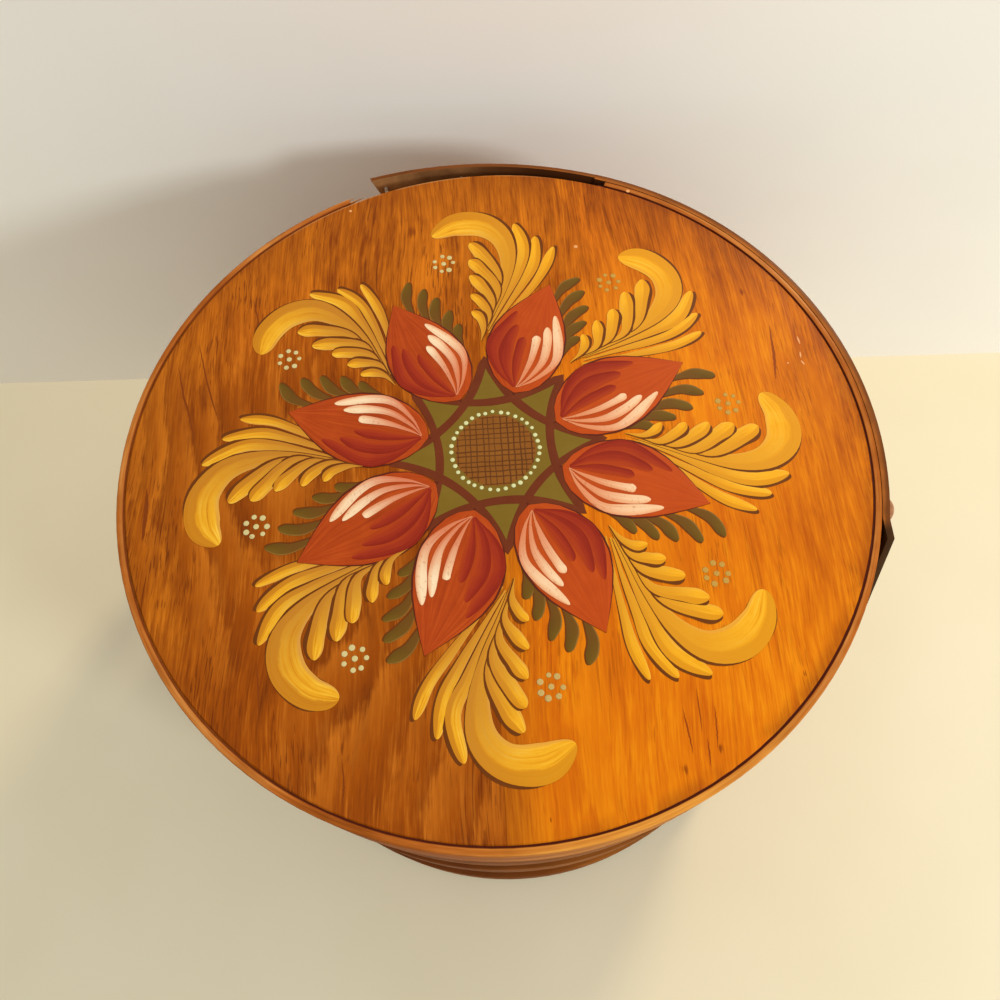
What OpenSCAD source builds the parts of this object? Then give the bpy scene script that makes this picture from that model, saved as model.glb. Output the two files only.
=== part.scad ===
// Staved firkin with a painted lid: coopered bucket, lift-off lid with a bent band, wooden bail.
// The floor is z = 0, the bucket's axis is Z, and the bail turns about X. Sizes in millimetres.

/* [Bucket] */
// Height of the closed firkin, from the floor to the top of the lid
height = 242; // [230:1:254]
// Radius of the round lid board, which sets the width of the whole firkin
lid_board_r = 150; // [142:1:158]
// Thickness of the staves
stave_t = 12; // [11:0.5:13]
// How much wider the bucket stands at its foot than at its mouth, on each side
foot_flare = 2; // [0:0.5:4]
// Thickness of the bottom boards
bottom_t = 10; // [9:0.5:12]
// Height of the underside of the bottom above the floor
bottom_lift = 14; // [12:1:17]

/* [Hoops] */
// Thickness of the bent hoops
hoop_t = 3.2; // [2.8:0.1:3.6]
// Width of the bent hoops
hoop_h = 30; // [26:1:33]
// Arc that the outer end of a hoop laps over, in degrees
hoop_lap = 38; // [32:1:44]

/* [Lid] */
// Thickness of the lid boards
lid_board_t = 13; // [12:0.5:15]
// Depth of the bent band round the lid
band_h = 38; // [34:1:42]
// Thickness of the bent band
band_t = 2.8; // [2.4:0.1:3.2]
// How far the sprung tongue at the back stands off the band's line
tongue_rise = 4.9; // [3:0.1:6]
// How far the loose end of the lap at the side is bent off the band's line, in degrees
lap_kink = 13; // [8:0.5:14]

/* [Bail] */
// Length of the straight arms, from the pegs to the bend
arm_straight = 74; // [66:1:80]
// Thickness of the bail
bail_t = 7; // [6:0.5:8]
// Width of the arms at the pegs
arm_w = 32; // [28:1:36]
// Width of the bail at the crown, where it is held
grip_w = 25; // [22:1:28]
// Diameter of the pegs that the bail turns on
peg_d = 12; // [10:0.5:14]

/* [Fits] */
// Gap between seated pieces that can come apart
seat_gap = 0.3; // [0.2:0.05:0.4]
// Radial clearance of the bail on its pegs
running_gap = 0.08; // [0.05:0.01:0.1]
// Gap between pieces that are glued, nailed or driven together
tight_gap = 0.04; // [0.03:0.01:0.06]
// Gap between the lid's band and the mouth of the bucket
lid_gap = 2; // [1.6:0.1:2.6]

/* [Hidden] */
$fn = 96;
stave_count = 18;
stave_step = 360 / stave_count;

// Radii of the lid: the board, the band round it and the second layer where the band laps itself
band_in_r = lid_board_r + seat_gap;
lap_in_r = band_in_r + band_t + tight_gap;
lap_out_r = lap_in_r + band_t;
board_z = height - lid_board_t;
band_z = height - band_h;
board_joint_x = -4;
board_edge = 0.8;

// Where the band's inner end, its break, the tongue and the lap's crack lie, in degrees from +X
step_angle = 67;
break_angle = 114;
tongue_from = 69;
tongue_arc = 40;
lap_crack = -15;

// The slanted ends of the band, and what is worn off it and split off its tongue
break_slant = 6;
tongue_slant = 14;
tongue_split = 0.8;
lap_end_len = 23;
lap_end_slant = 14;
band_wear = 0.06;

// How far the bent ends reach back into the lap, in degrees and as a length
arc_root = 0.5;
crack_root = 0.3;

// The staves: a cone outside and inside, a groove for the bottom and chamfered ends
mouth_r = band_in_r - lid_gap;
stave_h = board_z - seat_gap;
stave_gap = 0.12;
stave_half = stave_step / 2 - degrees_of(stave_gap / 2, mouth_r);
end_chamfer = 1;
lip_chamfer = 2.5;
chime_chamfer = 4;
groove_depth = 4.5;
groove_h = bottom_t - 4;
groove_z = bottom_lift + 2;
joint_tongue_t = 3;
joint_tongue_from = 4;
joint_tongue_w = 2;

// The bottom, thinned at its edge to enter the groove
bottom_r = inner_r(groove_z) + groove_depth - seat_gap;
bottom_bevel = 14;

// Heights of the hoops' lower edges, where each lap starts, in degrees, and the shape of its outer end
hoop_z = [4, height * 0.38, height - band_h - hoop_h - 21];
hoop_angle = [119, 39, 79];
lap_t = hoop_t * 0.8;
lap_inset = 0.4;
lap_bevel = 26;
feather = 0.3;
tip_cut = 11;
tip_len = 22;
tack_angles = [15, 27];
tack_spread = [9, 4];

// The pegs, the bail's pivot and the spacers that hold the arms clear of the lid
pivot_z = hoop_z[2] + hoop_h / 2;
peg_r = peg_d / 2;
peg_head_r = peg_r + 5;
peg_head_t = 6.5;
bail_room = 3.5;
arm_in_x = lap_out_r + bail_room;
arm_out_x = arm_in_x + bail_t;
spacer_r = 14;
peg_in_x = inner_r(pivot_z) - 1;
wedge_t = 1.8;
wedge_len = 11;

// The bail's outline, from its inner face: straight arm, corner arc and crown arc
corner_r = 0.6 * lid_board_r;
crown_r = lid_board_r + 55;
corner_arc = acos((arm_in_x - corner_r) / (crown_r - corner_r));
crown_y = arm_straight - (crown_r - corner_r) * sin(corner_arc);
crown_in = crown_y + crown_r;
arm_end = arm_w / 2;
bend_wear = 0.06;
bend_root = 0.5;

// The bail lies back and down until the lower edge of its crown meets the wall
rest_wall = outer_r(pivot_z - crown_in / 2) + seat_gap + 0.2;
rest_drop = acos(rest_wall / norm([crown_in, grip_w / 2])) - atan2(grip_w / 2, crown_in);
rest_turn = 90 + rest_drop;

// Small tacks, and the domed stud near the loose end of the lap
tack_head_r = 1.8;
tack_head_t = 0.35;
tack_r = 0.9;
tack_len = 13;
lid_tack_z = height - lid_board_t / 2;
band_tack_angles = [126, 148, 170, 192];
lap_tack_angles = [34, 62];
tongue_tack_arcs = [21, 33];
stud_angle = -12.9;
stud_head_r = 5.5;
stud_head_t = 3.3;
stud_r = 1.2;
stud_z = height - 6;

function stave_name(i) = str("stave_", i < 10 ? "0" : "", i);
function degrees_of(length, r) = length / r * 180 / PI;

// Radius of the bucket's outer and inner faces at a height
function outer_r(z) = mouth_r + foot_flare * (1 - z / stave_h);
function inner_r(z) = outer_r(z) - stave_t;

// An arc that leaves a circle of radius r at a tangent and stands rise off it after arc degrees:
// how far its centre lies back from the circle's centre, its radius there, and its own sweep
function arc_shift(r, rise, arc) =
    (pow(r + rise, 2) - r * r) / (2 * (r - (r + rise) * cos(arc)));
function arc_reach(r, shift, arc) =
    sqrt(pow(r + shift, 2) - pow(shift * sin(arc), 2)) - shift * cos(arc);
function arc_sweep(r, shift, arc) =
    let (reach = arc_reach(r, shift, arc)) atan2(reach * sin(arc), shift + reach * cos(arc));

tongue_shift = arc_shift(lap_in_r, tongue_rise, tongue_arc);
tongue_sweep = arc_sweep(lap_in_r, tongue_shift, tongue_arc);

// Part of a ring with a given outline, from one angle to another
module sector(from, to) {
    rotate(from)
        rotate_extrude(angle = to - from)
            children();
}

// Frame of an arc whose centre lies shift back from the axis, opposite to the angle where it starts
module shifted(angle, shift) {
    translate([-shift * cos(angle), -shift * sin(angle), 0])
        rotate(angle)
            children();
}

// An outline drawn as across and up, pushed outwards along the radius
module radial(from, depth) {
    translate([from, 0, 0])
        rotate([90, 0, 90])
            linear_extrude(depth)
                children();
}

// A solid that points along +Z, turned to point outwards along +X
module outward() {
    rotate([0, 90, 0])
        children();
}

module dome(r, h) {
    ball = (r * r + h * h) / (2 * h);
    intersection() {
        translate([0, 0, h - ball])
            sphere(ball, $fn = 64);
        cylinder(r = r, h = h);
    }
}

// A tack that points outwards, with its head's underside at the origin
module tack() {
    outward() {
        cylinder(r = tack_head_r, h = tack_head_t, $fn = 24);
        translate([0, 0, -tack_len])
            cylinder(r = tack_r, h = tack_len + 0.1, $fn = 24);
    }
}

// The hole that a tack's shank takes
module tack_hole() {
    outward()
        translate([0, 0, -tack_len - 1])
            cylinder(r = tack_r + tight_gap, h = tack_len + 3, $fn = 24);
}

module stave_outline() {
    polygon([
        [outer_r(0) - end_chamfer, 0],
        [outer_r(end_chamfer), end_chamfer],
        [outer_r(stave_h - end_chamfer), stave_h - end_chamfer],
        [outer_r(stave_h) - end_chamfer, stave_h],
        [inner_r(stave_h) + lip_chamfer, stave_h],
        [inner_r(stave_h - lip_chamfer), stave_h - lip_chamfer],
        [inner_r(groove_z + groove_h), groove_z + groove_h],
        [inner_r(groove_z) + groove_depth, groove_z + groove_h],
        [inner_r(groove_z) + groove_depth, groove_z],
        [inner_r(groove_z), groove_z],
        [inner_r(chime_chamfer), chime_chamfer],
        [inner_r(0) + chime_chamfer, 0]
    ]);
}

// Outline of the tongue along one edge of a stave, or of the groove that takes it
module joint_outline(gap) {
    out = joint_tongue_from - gap;
    in = joint_tongue_from + joint_tongue_t + gap;
    low = end_chamfer - gap;
    top = stave_h - end_chamfer + gap;
    polygon([
        [outer_r(low) - in, low],
        [outer_r(low) - out, low],
        [outer_r(top) - out, top],
        [outer_r(top) - in, top]
    ]);
}

// Bores on the pivot's line, on both sides of the bucket
module peg_bores(r) {
    for (side = [0, 180])
        rotate(side)
            translate([peg_in_x - 5, 0, pivot_z])
                outward()
                    cylinder(r = r, h = arm_out_x - peg_in_x + 5);
}

module stave(i) {
    middle = (i - 1) * stave_step;
    tongue = degrees_of(joint_tongue_w, mouth_r);
    slack = degrees_of(stave_gap * 2, mouth_r);
    color("#a5622b")
        difference() {
            union() {
                sector(middle - stave_half, middle + stave_half)
                    stave_outline();
                sector(middle + stave_half - tongue / 2, middle + stave_half + tongue)
                    joint_outline(0);
            }
            sector(middle - stave_half - tongue / 2, middle - stave_half + tongue + slack)
                joint_outline(stave_gap);
            peg_bores(peg_r + tight_gap);
            hoop_tack_places()
                tack_hole();
        }
}

module bottom_disc() {
    edge_low = groove_z + seat_gap / 2;
    edge_top = groove_z + groove_h - seat_gap / 2;
    flat_r = inner_r(bottom_lift) - seat_gap;
    rotate_extrude()
        polygon([
            [0, bottom_lift],
            [flat_r - bottom_bevel, bottom_lift],
            [flat_r - 1, edge_low],
            [bottom_r, edge_low],
            [bottom_r, edge_top],
            [flat_r - 1, edge_top],
            [flat_r - bottom_bevel, bottom_lift + bottom_t],
            [0, bottom_lift + bottom_t]
        ]);
}

// The half of a solid on one side of a plane across Y (side 1 is +Y, side -1 is -Y)
module half_space(side) {
    reach = 2 * lid_board_r;
    translate([-reach, side > 0 ? tight_gap : -reach - tight_gap, -1])
        cube([2 * reach, reach, height + 2]);
}

module bottom_board(side) {
    color("#9c5f2d")
        intersection() {
            bottom_disc();
            half_space(side);
        }
}

// Radius of a hoop's outer face
function hoop_r(k) = outer_r(hoop_z[k]) + hoop_t;

// The outer end of a hoop, which climbs over its inner end by a long bevel
module hoop_lap_end(k) {
    rise = degrees_of(lap_bevel, hoop_r(k));
    side = hoop_r(k) * sin(rise);
    low = hoop_r(k) * cos(rise);
    difference() {
        sector(0, hoop_lap)
            translate([hoop_r(k) - hoop_t / 2, hoop_z[k] + lap_inset])
                square([hoop_t / 2 + lap_t, hoop_h - 2 * lap_inset]);
        translate([0, 0, hoop_z[k] - 1])
            linear_extrude(hoop_h + 2)
                polygon([
                    [hoop_r(k) + feather, -1],
                    [hoop_r(k) + feather, 0],
                    [low + lap_t * 1.2, side],
                    [low + 4 * lap_t, side],
                    [hoop_r(k) + 4 * lap_t, -1]
                ]);
    }
}

// What is cut off the lap's two corners, down to the hoop's own face, to leave a blunt point
module hoop_tip_cut(k) {
    difference() {
        for (up = [0, 1])
            rotate(hoop_lap)
                translate([0, 0, hoop_z[k] + up * hoop_h])
                    mirror([0, 0, up])
                        radial(hoop_r(k) - 3 * hoop_t, 6 * hoop_t)
                            polygon([[-tip_len, -1], [-tip_len, 0], [0, tip_cut], [2, tip_cut], [2, -1]]);
        translate([0, 0, hoop_z[k] - hoop_h])
            cylinder(r = hoop_r(k) + tight_gap, h = 3 * hoop_h);
    }
}

module hoop(k) {
    z = hoop_z[k];
    color("#7c4a22")
        difference() {
            union() {
                rotate_extrude()
                    polygon([
                        [outer_r(z) + tight_gap, z],
                        [hoop_r(k), z],
                        [hoop_r(k), z + hoop_h],
                        [outer_r(z + hoop_h) + tight_gap, z + hoop_h]
                    ]);
                rotate(hoop_angle[k])
                    hoop_lap_end(k);
            }
            rotate(hoop_angle[k])
                hoop_tip_cut(k);
            hoop_tack_places()
                tack_hole();
            peg_bores(peg_r + tight_gap);
        }
}

// Four tacks through each hoop's lap
module hoop_tack_places() {
    for (k = [0 : len(hoop_z) - 1])
        for (along = [0, 1])
            for (up = [-1, 1])
                rotate(hoop_angle[k] + tack_angles[along])
                    translate([hoop_r(k) + lap_t + tight_gap, 0, hoop_z[k] + hoop_h / 2])
                        translate([0, 0, up * tack_spread[along]])
                            children();
}

module hoop_tacks() {
    color("#5f5145")
        hoop_tack_places()
            tack();
}

module peg(side) {
    head_x = arm_out_x + seat_gap;
    color("#94602f")
        rotate(side)
            translate([0, 0, pivot_z])
                difference() {
                    outward() {
                        translate([0, 0, peg_in_x])
                            cylinder(r = peg_r, h = head_x - peg_in_x + 0.1);
                        translate([0, 0, head_x])
                            dome(peg_head_r, peg_head_t);
                    }
                    translate([peg_in_x - 1, -peg_r - 1, -wedge_t / 2])
                        cube([wedge_len + 1, 2 * peg_r + 2, wedge_t]);
                }
}

// The thin wedge that is driven into the peg's inner end
module peg_wedge(side) {
    color("#d9b27c")
        rotate(side)
            translate([0, 0, pivot_z])
                intersection() {
                    translate([peg_in_x - 0.5, -peg_r, tight_gap - wedge_t / 2])
                        cube([wedge_len + 0.5 - tight_gap, 2 * peg_r, wedge_t - 2 * tight_gap]);
                    outward()
                        cylinder(r = peg_r, h = arm_in_x);
                }
}

// A turned spacer, hollowed on its inner face to sit on the round hoop
module peg_spacer(side) {
    from_x = hoop_r(2) - 3;
    to_x = arm_in_x - seat_gap;
    color("#84532a")
        rotate(side)
            difference() {
                translate([from_x, 0, pivot_z])
                    outward()
                        difference() {
                            cylinder(r = spacer_r, h = to_x - from_x);
                            translate([0, 0, -1])
                                cylinder(r = peg_r + tight_gap, h = to_x - from_x + 2);
                        }
                cylinder(r = hoop_r(2) + tight_gap, h = height);
            }
}

// Part of a flat ring between two angles, with a little taken off its inner and outer edge
module ring_part(r, worn, from, to) {
    reach = 2 * (r + bail_t);
    middle = (from + to) / 2;
    intersection() {
        difference() {
            circle(r + bail_t - worn, $fn = 180);
            circle(r + worn, $fn = 180);
        }
        polygon([[0, 0], for (a = [from, middle, to]) reach * [cos(a), sin(a)]]);
    }
}

// The bent strip of the bail, seen from the front with the pivots at y = 0
module bail_arch() {
    for (turned = [0, 1])
        mirror([turned, 0]) {
            translate([arm_in_x, -arm_end])
                square([bail_t, arm_straight + arm_end]);
            translate([arm_in_x - corner_r, arm_straight])
                ring_part(corner_r, bend_wear, -bend_root, corner_arc + bend_root);
        }
    translate([0, crown_y])
        ring_part(crown_r, 0, corner_arc, 180 - corner_arc);
}

// The bail seen from its side: round ends at the pivots, then narrowing towards the crown
module bail_side() {
    top = crown_in + bail_t + 1;
    circle(arm_end);
    polygon([[-arm_end, 0], [arm_end, 0], [grip_w / 2, arm_straight], [grip_w / 2, top], [-grip_w / 2, top],
        [-grip_w / 2, arm_straight]]);
}

module bail() {
    reach = arm_out_x + 1;
    color("#875227")
        translate([0, 0, pivot_z])
            rotate([-rest_turn, 0, 0])
                difference() {
                    intersection() {
                        translate([0, arm_w, 0])
                            rotate([90, 0, 0])
                                linear_extrude(2 * arm_w)
                                    bail_arch();
                        radial(-reach, 2 * reach)
                            bail_side();
                    }
                    translate([-reach, 0, 0])
                        outward()
                            cylinder(r = peg_r + running_gap, h = 2 * reach);
                }
}

// Tacks through the single band, through the lap, and left behind in the sprung tongue
module lid_tack_places() {
    translate([0, 0, lid_tack_z]) {
        for (angle = band_tack_angles)
            rotate(angle)
                translate([band_in_r + band_t + tight_gap, 0, 0])
                    children();
        for (angle = lap_tack_angles)
            rotate(angle)
                translate([lap_out_r + tight_gap, 0, 0])
                    children();
        for (arc = tongue_tack_arcs)
            shifted(tongue_from, tongue_shift)
                rotate(arc)
                    translate([lap_out_r + tongue_shift + tight_gap, 0, 0])
                        children();
    }
}

module lid_tacks() {
    color("#5f5145")
        lid_tack_places()
            tack();
}

// The stud holds the lap just before its loose end and reaches through to the board
module stud_place() {
    rotate(stud_angle)
        translate([lap_out_r + tight_gap, 0, stud_z])
            outward()
                children();
}

module stud_shank(gap) {
    translate([0, 0, -tack_len])
        cylinder(r = stud_r + gap, h = tack_len + 0.1, $fn = 24);
}

module lap_stud() {
    color("#b98d5c")
        stud_place() {
            dome(stud_head_r, stud_head_t);
            stud_shank(0);
        }
}

module lid_holes() {
    lid_tack_places()
        tack_hole();
    stud_place()
        stud_shank(tight_gap);
}

// One of the two boards of the lid, cut from a disc with an eased upper edge
module lid_board(side) {
    color(side > 0 ? "#c67d2c" : "#a9632a")
        difference() {
            intersection() {
                rotate_extrude($fn = 180)
                    polygon([
                        [0, board_z],
                        [lid_board_r, board_z],
                        [lid_board_r, height - board_edge],
                        [lid_board_r - board_edge, height],
                        [0, height]
                    ]);
                translate([board_joint_x, 0, 0])
                    rotate(-90)
                        half_space(side);
            }
            lid_holes();
        }
}

// Cross-section of the band, with its inner face at a radius, a little taken off all round,
// and a layer split off its inner face
module band_outline(r, worn, split) {
    translate([r + worn + split, band_z + worn])
        square([band_t - 2 * worn - split, band_h - 2 * worn]);
}

// Frame at the lap's crack, where its flat loose end is bent outwards about the middle of its thickness
module loose_end() {
    rotate(lap_crack)
        translate([lap_in_r + band_t / 2, 0, band_z])
            rotate(lap_kink)
                children();
}

// The band's long stretch, from the break at the back, round the front, to its inner end under the lap
module lid_band() {
    color("#ad6a30")
        difference() {
            sector(break_angle, 360 + step_angle)
                band_outline(band_in_r, 0, 0);
            rotate(break_angle)
                radial(band_in_r - band_t, 3 * band_t)
                    polygon([[-2, band_z - 1], [break_slant, band_z - 1], [0, height], [-2, height]]);
            lid_holes();
        }
}

// The band's outer end: a tongue sprung off at the back, the lap, and a loose end cut on a slant
module lid_band_lap() {
    color("#a5642c")
        difference() {
            union() {
                sector(lap_crack, tongue_from)
                    band_outline(lap_in_r, 0, 0);
                shifted(tongue_from, tongue_shift)
                    sector(-arc_root, tongue_sweep)
                        band_outline(lap_in_r + tongue_shift, band_wear, tongue_split);
                loose_end()
                    translate([band_wear - band_t / 2, -lap_end_len, band_wear])
                        cube([band_t - 2 * band_wear, lap_end_len + crack_root, band_h - 2 * band_wear]);
            }
            shifted(tongue_from, tongue_shift)
                rotate(tongue_sweep)
                    radial(lap_in_r + tongue_shift - 2 * band_t, 5 * band_t)
                        polygon([[-tongue_slant, band_z - 1], [0, height], [2, height], [2, band_z - 1]]);
            loose_end()
                translate([0, -lap_end_len, 0])
                    radial(-3 * band_t, 6 * band_t)
                        polygon([
                            [-2, -1],
                            [0, 0],
                            [lap_end_slant, band_h],
                            [lap_end_slant, band_h + 1],
                            [-2, band_h + 1]
                        ]);
            lid_holes();
        }
}

for (i = [1 : stave_count])
    stave(i);
bottom_board(-1);  // bottom_board_front
bottom_board(1);  // bottom_board_back
hoop(0);  // hoop_bottom
hoop(1);  // hoop_middle
hoop(2);  // hoop_top
hoop_tacks();
peg(0);  // peg_right
peg(180);  // peg_left
peg_spacer(0);  // peg_spacer_right
peg_spacer(180);  // peg_spacer_left
peg_wedge(0);  // peg_wedge_right
peg_wedge(180);  // peg_wedge_left
bail();
lid_board(-1);  // lid_board_left
lid_board(1);  // lid_board_right
lid_band();
lid_band_lap();
lid_tacks();
lap_stud();
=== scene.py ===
import math
import random

import bpy
import numpy as np
from mathutils import Matrix, Vector


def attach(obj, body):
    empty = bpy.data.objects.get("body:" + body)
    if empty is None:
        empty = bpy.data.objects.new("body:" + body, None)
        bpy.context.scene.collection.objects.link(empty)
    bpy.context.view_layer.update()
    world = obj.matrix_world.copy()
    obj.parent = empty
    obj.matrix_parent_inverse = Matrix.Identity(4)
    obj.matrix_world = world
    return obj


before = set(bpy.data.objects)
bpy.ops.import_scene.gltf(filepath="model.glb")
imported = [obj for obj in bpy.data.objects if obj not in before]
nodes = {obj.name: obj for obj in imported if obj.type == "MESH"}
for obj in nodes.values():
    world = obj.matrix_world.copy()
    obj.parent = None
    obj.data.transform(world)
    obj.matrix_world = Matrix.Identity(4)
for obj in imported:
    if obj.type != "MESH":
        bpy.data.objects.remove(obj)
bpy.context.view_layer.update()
scene = bpy.context.scene
rng = random.Random(11)

# Sizes repeated from the part's source, in metres and degrees
LID_R = 0.150
TOP = 0.242
PIVOT_Z = 0.168
BREAK_ANGLE = 114
FOOT_R = 0.1485
STAVE_TAPER = -0.00875
STAVE_COUNT = 18


def jitter(size):
    """Small seeded deviation to either side."""
    return rng.uniform(-size, size)


def srgb(red, green, blue):
    """Linear colour of an 8-bit screen colour."""
    def line(c):
        c /= 255
        return c / 12.92 if c <= 0.04045 else ((c + 0.055) / 1.055) ** 2.4
    return (line(red), line(green), line(blue), 1.0)


class Shader:
    """A material with one principled shader, the colour mixed so far, and short names for its nodes.
    Colours are 8-bit screen colours, or come from a node."""

    def __init__(self, name, **constants):
        self.material = bpy.data.materials.new(name)
        self.material.use_nodes = True
        self.tree = self.material.node_tree
        self.bsdf = self.tree.nodes["Principled BSDF"]
        for socket, value in constants.items():
            self.bsdf.inputs[socket.replace("_", " ")].default_value = value
        self.point = self.node("ShaderNodeTexCoord").outputs["Object"]

    def node(self, kind, inputs=None, **settings):
        made = self.tree.nodes.new(kind)
        for key, value in settings.items():
            setattr(made, key, value)
        for key, value in (inputs or {}).items():
            self.put(made.inputs[key], value)
        return made

    def put(self, socket, value):
        """Links a socket to another one, or gives it a constant."""
        if isinstance(value, bpy.types.NodeSocket):
            self.tree.links.new(value, socket)
        else:
            socket.default_value = value

    def set(self, socket, value):
        self.put(self.bsdf.inputs[socket], value)

    def calc(self, operation, a, b=0.0, c=0.0):
        return self.node("ShaderNodeMath", {0: a, 1: b, 2: c}, operation=operation).outputs[0]

    def times(self, value, *others):
        """Product of two or more values."""
        for other in others:
            value = self.calc("MULTIPLY", value, other)
        return value

    def length(self, a, b):
        return self.calc("SQRT", self.calc("ADD", self.times(a, a), self.times(b, b)))

    def blend(self, *parts):
        """Sum of several patterns, each with its weight."""
        total = self.times(*parts[0])
        for part in parts[1:]:
            total = self.calc("ADD", total, self.times(*part))
        return total

    def split(self, vector):
        return self.node("ShaderNodeSeparateXYZ", {0: vector}).outputs

    def join(self, x, y, z):
        return self.node("ShaderNodeCombineXYZ", {0: x, 1: y, 2: z}).outputs[0]

    def radius(self):
        """Distance from the bucket's axis."""
        x, y, _ = self.split(self.point)
        return self.length(x, y)

    def noise(self, vector, scale, detail=3.0, rough=0.55):
        inputs = {"Vector": vector, "Scale": scale, "Detail": detail, "Roughness": rough}
        return self.node("ShaderNodeTexNoise", inputs).outputs[0]

    def patches(self, scale, offset=(0, 0, 0), detail=3.0, rough=0.55):
        """Soft patches with a scale along each axis."""
        inputs = {"Vector": self.point, "Scale": scale, "Location": offset}
        return self.noise(self.node("ShaderNodeMapping", inputs).outputs[0], 1.0, detail, rough)

    def ramp(self, value, *stops):
        """Colours at places along a value."""
        made = self.node("ShaderNodeValToRGB", {0: value})
        points = made.color_ramp.elements
        while len(points) < len(stops):
            points.new(0.5)
        for point, (place, colour) in zip(points, stops):
            point.position = place
            point.color = srgb(*colour)
        return made.outputs[0]

    def steps(self, value, low, high, to_low=0.0, to_high=1.0):
        """Smooth step from one value to another between two places."""
        made = self.node("ShaderNodeMapRange", {0: value, 1: low, 2: high, 3: to_low, 4: to_high})
        made.interpolation_type = "SMOOTHSTEP"
        return made.outputs[0]

    def mix(self, factor, a, b):
        a, b = (srgb(*colour) if isinstance(colour, tuple) else colour for colour in (a, b))
        return self.node("ShaderNodeMix", {0: factor, 6: a, 7: b}, data_type="RGBA").outputs[2]

    def stain(self, weight, colour):
        """Mixes another colour into the colour so far."""
        self.colour = self.mix(weight, self.colour, colour)

    def tint(self, weight, *stops):
        """Mixes in colours that go by the tone."""
        self.stain(weight, self.ramp(self.tone, *stops))

    def finish(self, roughness, relief, strength, distance=0.0005):
        """Gives the shader the colour so far, a roughness and a relief."""
        inputs = {"Height": relief, "Strength": strength, "Distance": distance}
        self.set("Base Color", self.colour)
        self.set("Roughness", roughness)
        self.set("Normal", self.node("ShaderNodeBump", inputs).outputs[0])
        return self.material


# Wood of the lid's boards. Zones run between two places along an axis or out from the middle, in metres.
BROWN_BACK, BROWN_RIGHT = (0.02, 0.125), (0.085, 0.145)
PALE_LEFT, PALE_BACK, PALE_BACK_LEFT = (-0.148, -0.095), (0.05, 0.11), (0.01, 0.06)
FLAMES_BACK = (0.0, 0.12)
SMOKY_RIM, SMOKY_BACK = (0.118, 0.150), (-0.06, 0.12)
GRIMY_RIM, GRIMY_RIGHT = (0.1435, 0.1496), (-0.02, 0.08)
BARE_RIM, BARE_BACK, BARE_LEFT = (0.1483, 0.1494), (0.100, 0.136), (0.0, 0.05)
UNDERSIDE = (TOP - 0.0022, TOP - 0.0012)
KNOT_SQUEEZE = 0.6


class LidWood(Shader):
    """Stained softwood with its grain along Y, in a dark, a middle and a light colour."""

    def __init__(self, name, colours, seed):
        super().__init__(name, Coat_Weight=0.02, Coat_Roughness=0.3, Specular_IOR_Level=0.08)
        self.seed = seed
        self.dark, self.middle, self.light = colours
        self.x, self.y, self.z = self.split(self.point)
        bend = self.patches((11, 5, 9), (seed, seed * 2, 0), 2.0)
        self.wander = self.calc("MULTIPLY_ADD", bend, 0.024, self.x)
        self.fibre = self.grain(0.05, 1350, 2.0)
        self.streak = self.grain(0.09, 330, 3.0)
        self.blotch = self.cloud(34, 20, 2)
        self.patch = self.cloud(70, 34, 4)
        self.tone = self.blend((self.fibre, 0.34), (self.streak, 0.30), (self.grain(0.16, 60, 3.0), 0.28),
                               (self.blotch, 0.28), (self.patch, 0.12))
        self.colour = self.ramp(self.tone, (0.52, self.dark), (0.66, self.middle), (0.80, self.light))
        self.edge = self.radius()

    def grain(self, stretch, scale, detail, shift=0.0):
        """Streaks along the grain."""
        vector = self.join(self.wander, self.times(self.y, stretch), self.seed + shift)
        return self.noise(vector, scale, detail, 0.6)

    def cloud(self, across, along, shift):
        return self.patches((across, along, 1), (self.seed + shift, self.seed * 5, 0), 4.0, 0.62)

    def clusters(self, stretch, scale, shift, low, cloud, dense):
        """Fine lines of the grain where a cloud is dense."""
        lines = self.steps(self.grain(stretch, scale, 1.0, shift), low, low + 0.08)
        return self.times(lines, self.steps(self.cloud(*cloud), *dense))


def lid_shade_edge(s, near, dark, light):
    """Painted shade: brings the colour beside the boards' joint close to the other board's darker tones."""
    place = s.calc("MULTIPLY_ADD", s.patch, 0.012, s.x)
    s.tint(s.steps(place, near - 0.008, near + 0.014, 0.9, 0.0), (0.52, dark), (0.80, light))


def lid_zones(s):
    """Browner towards the back and the right, paler at the left end and the back left."""
    back = s.steps(s.y, *BROWN_BACK, 0.0, 0.95)
    brown = s.calc("MAXIMUM", back, s.steps(s.x, *BROWN_RIGHT, 0.0, 0.4))
    s.tint(brown, (0.55, (122, 52, 0)), (0.78, (214, 110, 10)))
    back_left = s.times(s.steps(s.y, *PALE_BACK, 0.0, 0.7), s.steps(s.x, *PALE_BACK_LEFT, 1.0, 0.0))
    pale = s.calc("MAXIMUM", s.steps(s.x, *PALE_LEFT, 0.85, 0.0), back_left)
    s.tint(pale, (0.54, (138, 62, 0)), (0.78, (220, 128, 22)))


def lid_flames(s, middle_x, middle_y, squeeze, spacing, share):
    """Arched flames about a middle, in patches, and fainter towards the back."""
    off_x = s.calc("SUBTRACT", s.wander, middle_x)
    off_y = s.calc("MULTIPLY_ADD", s.y, squeeze, -squeeze * middle_y)
    away = s.length(off_x, off_y)
    arch = s.blend((away, 1 / spacing), (s.blotch, 1.5), (s.streak, 0.35), (s.fibre, 0.35))
    flame = s.ramp(s.calc("FRACT", arch), (0.0, s.light), (0.45, s.middle), (0.82, s.dark), (1.0, s.light))
    where = s.steps(s.cloud(26, 14, 13), 0.42, 0.60)
    s.stain(s.times(where, s.steps(s.y, *FLAMES_BACK, share, 0.25 * share)), flame)


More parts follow.
